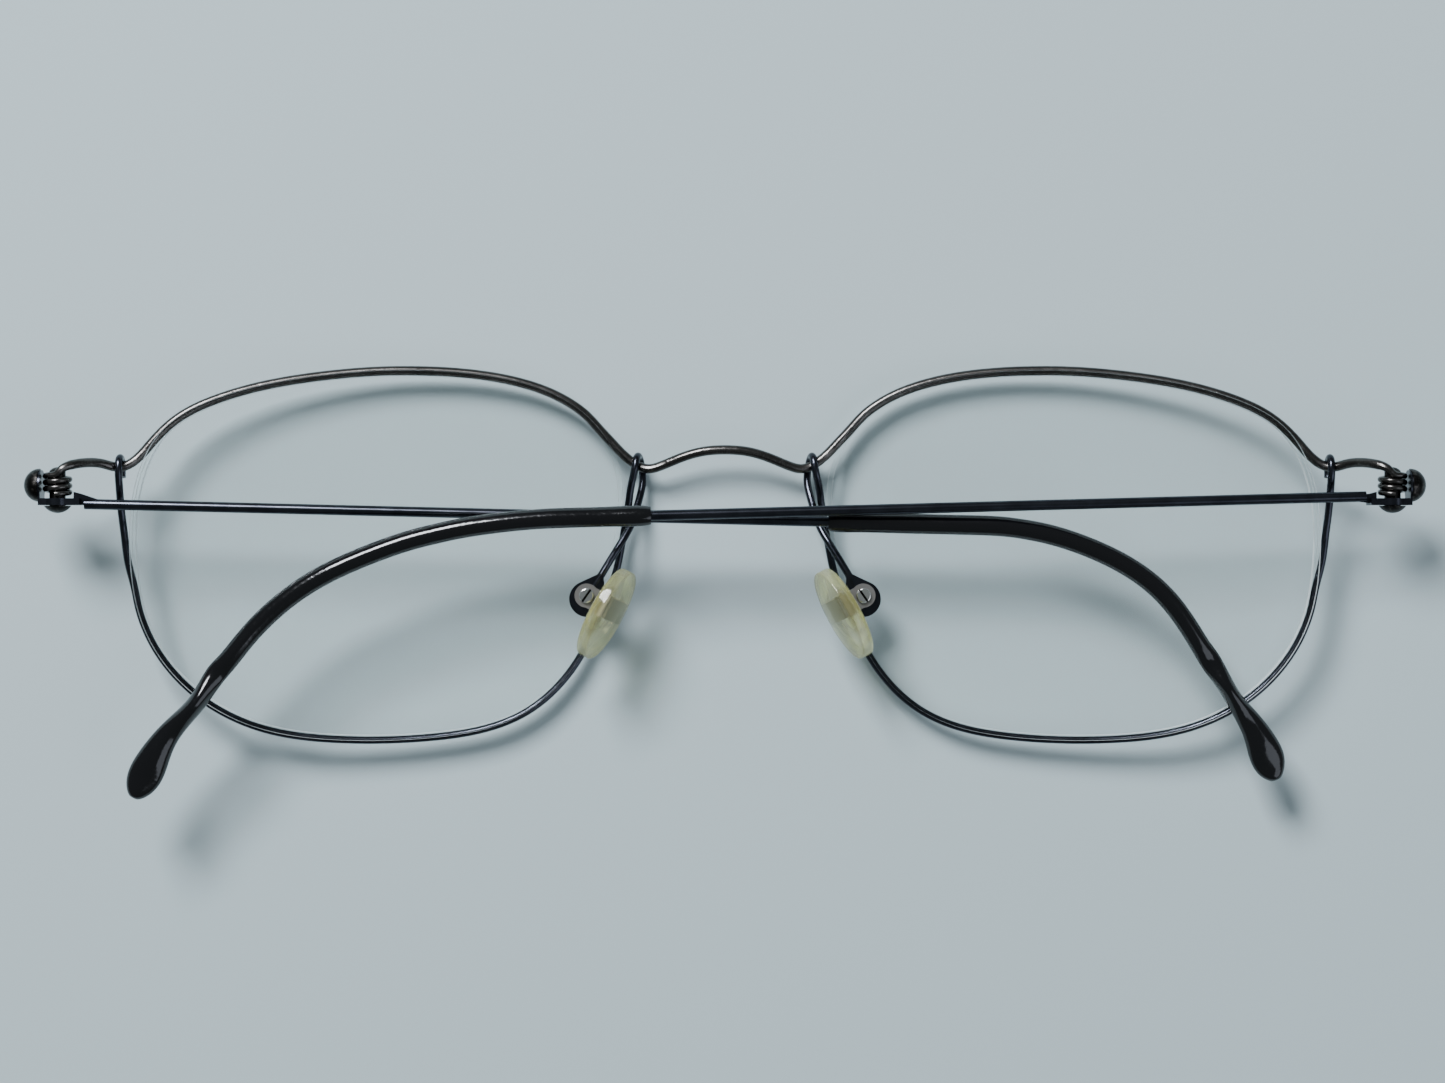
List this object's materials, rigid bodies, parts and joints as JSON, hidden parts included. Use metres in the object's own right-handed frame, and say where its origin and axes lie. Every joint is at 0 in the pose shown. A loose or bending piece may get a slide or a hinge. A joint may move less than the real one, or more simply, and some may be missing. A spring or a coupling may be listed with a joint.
{
  "type": "wire-rimmed eyeglasses",
  "caption": "Lightweight eyeglasses with grooved lenses held by a thin wire rim, folding wire temples, curved plastic tips and screwed-on nose pads.",
  "frame": {"origin": "nose side of the lens plane: midway between the lenses, at lens mid-height, on the surface the lens fronts rest on", "axes": "+X towards the wearer's right temple, +Y up towards the brow, +Z from the lens fronts back towards the wearer; temples folded"},
  "size_m": [0.1386, 0.0432, 0.0122],
  "materials": {
    "titanium_wire": "dark polished titanium",
    "hinge_metal": "dark plated",
    "pad_metal": "satin grey",
    "screw_steel": "polished",
    "lens_plastic": "clear coated",
    "pad_plastic": "clear soft plastic, yellowed",
    "tip_plastic": "gloss black"
  },
  "bodies": {
    "front": {"brow_wire": "titanium_wire", "rim_wire_left": "titanium_wire", "rim_wire_right": "titanium_wire", "lens_left": "lens_plastic", "lens_right": "lens_plastic", "pad_screw_left": "screw_steel", "pad_screw_right": "screw_steel"},
    "temple_left": {"temple_left": "titanium_wire", "temple_tip_left": "tip_plastic", "hinge_pin_left": "hinge_metal", "hinge_cap_left": "hinge_metal"},
    "temple_right": {"temple_right": "titanium_wire", "temple_tip_right": "tip_plastic", "hinge_pin_right": "hinge_metal", "hinge_cap_right": "hinge_metal"},
    "pad_left": {"nose_pad_left": "pad_plastic", "pad_core_left": "pad_metal"},
    "pad_right": {"nose_pad_right": "pad_plastic", "pad_core_right": "pad_metal"}
  },
  "joints": [
    {"name": "temple_right_fold", "type": "hinge", "parent": "front", "child": "temple_right", "pos_m": [0.066, 0.007, 0.0086], "axis": [0, 1, 0], "range_deg": [0, 90]},
    {"name": "temple_left_fold", "type": "hinge", "parent": "front", "child": "temple_left", "pos_m": [-0.066, 0.007, 0.0086], "axis": [0, -1, 0], "range_deg": [0, 92]},
    {"name": "pad_left_swivel", "type": "hinge", "parent": "front", "child": "pad_left", "pos_m": [-0.0138, -0.004, 0.0055], "axis": [0, 0, 1], "range_deg": [-6, 6]},
    {"name": "pad_right_swivel", "type": "hinge", "parent": "front", "child": "pad_right", "pos_m": [0.0138, -0.004, 0.0055], "axis": [0, 0, 1], "range_deg": [-6, 6]}
  ]
}
